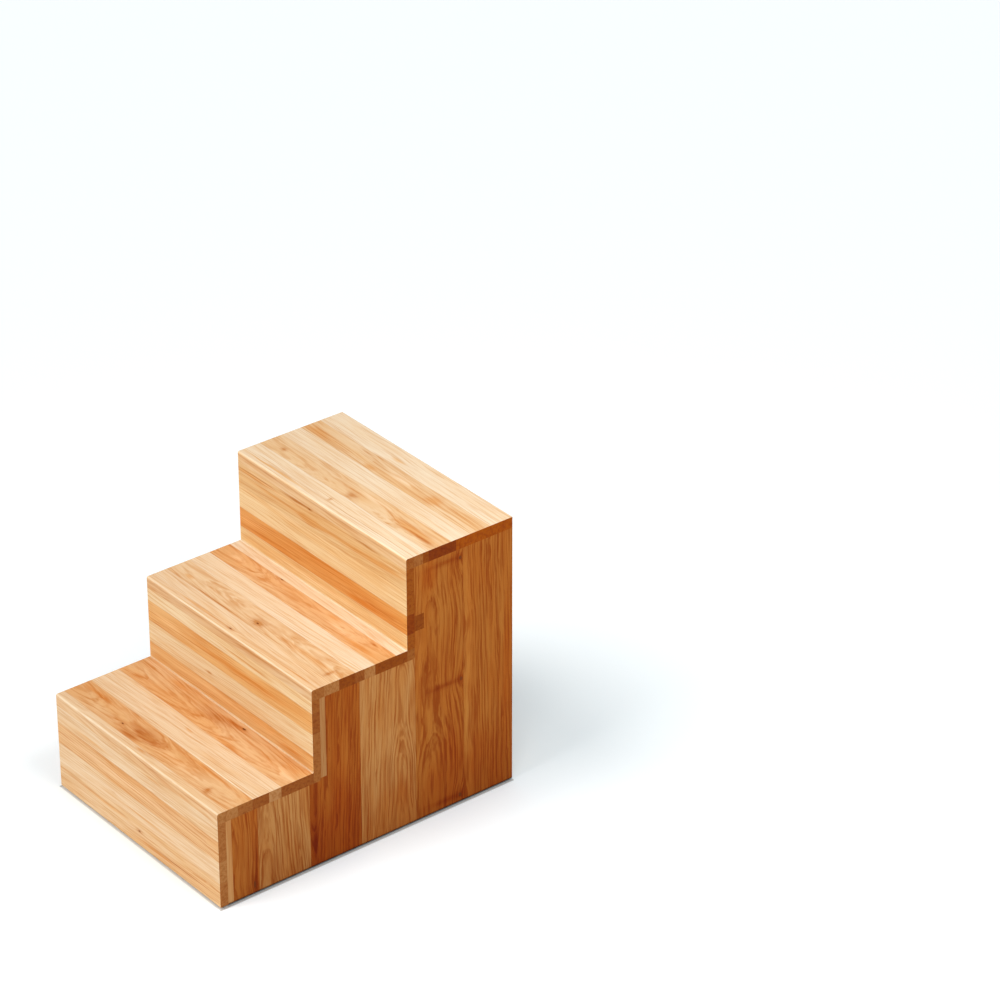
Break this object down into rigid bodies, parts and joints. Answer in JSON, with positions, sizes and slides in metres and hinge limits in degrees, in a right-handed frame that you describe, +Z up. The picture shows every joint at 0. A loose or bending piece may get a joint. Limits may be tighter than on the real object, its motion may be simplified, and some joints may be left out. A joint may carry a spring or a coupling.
{
  "type": "spa steps",
  "caption": "Free-standing timber box steps for a raised spa: three treads with closed risers, stepped side panels and an open back, all edge-glued from boards.",
  "frame": {"origin": "on the floor, in the middle of the footprint", "axes": "+X across the steps to the right-hand side as seen by a person about to climb them, +Y from the bottom step back to the spa, +Z up"},
  "size_m": [0.542, 0.711, 0.6],
  "materials": {
    "pale_pine": "clear satin varnish",
    "honey_pine": "clear satin varnish",
    "amber_pine": "clear satin varnish",
    "inner_pine": "planed, unfinished",
    "dowel_beech": "bare",
    "screw_steel": "bright stainless"
  },
  "bodies": {
    "root": {"back_bottom_rail": "inner_pine", "bottom_riser_board_1": "pale_pine", "bottom_riser_board_2": "honey_pine", "bottom_riser_board_3": "pale_pine", "bottom_riser_board_4": "honey_pine", "bottom_tread_back_rail": "inner_pine", "bottom_tread_board_1": "pale_pine", "bottom_tread_board_2": "honey_pine", "bottom_tread_board_3": "pale_pine", "bottom_tread_board_4": "amber_pine", "bottom_tread_board_5": "honey_pine", "bottom_tread_front_cleat": "inner_pine", "bottom_tread_left_cleat": "inner_pine", "bottom_tread_right_cleat": "inner_pine", "cleat_screws": "screw_steel", "left_side_board_1": "honey_pine", "left_side_board_2": "pale_pine", "left_side_board_3": "honey_pine", "left_side_board_4": "amber_pine", "left_side_board_5": "pale_pine", "left_side_board_6": "honey_pine", "left_side_strip": "pale_pine", "middle_riser_board_1": "pale_pine", "middle_riser_board_2": "amber_pine", "middle_riser_board_3": "pale_pine", "middle_riser_board_4": "honey_pine", "middle_tread_board_1": "pale_pine", "middle_tread_board_2": "pale_pine", "middle_tread_board_3": "honey_pine", "middle_tread_board_4": "pale_pine", "middle_tread_board_5": "honey_pine", "middle_tread_board_6": "pale_pine", "middle_tread_board_7": "honey_pine", "middle_tread_front_cleat": "inner_pine", "middle_tread_left_cleat": "inner_pine", "middle_tread_right_cleat": "inner_pine", "rail_dowels": "dowel_beech", "right_side_board_1": "amber_pine", "right_side_board_2": "pale_pine", "right_side_board_3": "amber_pine", "right_side_board_4": "pale_pine", "right_side_board_5": "honey_pine", "right_side_board_6": "amber_pine", "right_side_strip_1": "pale_pine", "right_side_strip_2": "pale_pine", "top_riser_board_1": "honey_pine", "top_riser_board_2": "pale_pine", "top_riser_board_3": "amber_pine", "top_riser_board_4": "pale_pine", "top_tread_back_rail": "inner_pine", "top_tread_board_1": "pale_pine", "top_tread_board_2": "pale_pine", "top_tread_board_3": "honey_pine", "top_tread_board_4": "pale_pine", "top_tread_board_5": "honey_pine", "top_tread_board_6": "pale_pine", "top_tread_front_cleat": "inner_pine", "top_tread_left_cleat": "inner_pine", "top_tread_right_cleat": "inner_pine", "upper_cross_rail": "inner_pine"}
  },
  "joints": []
}
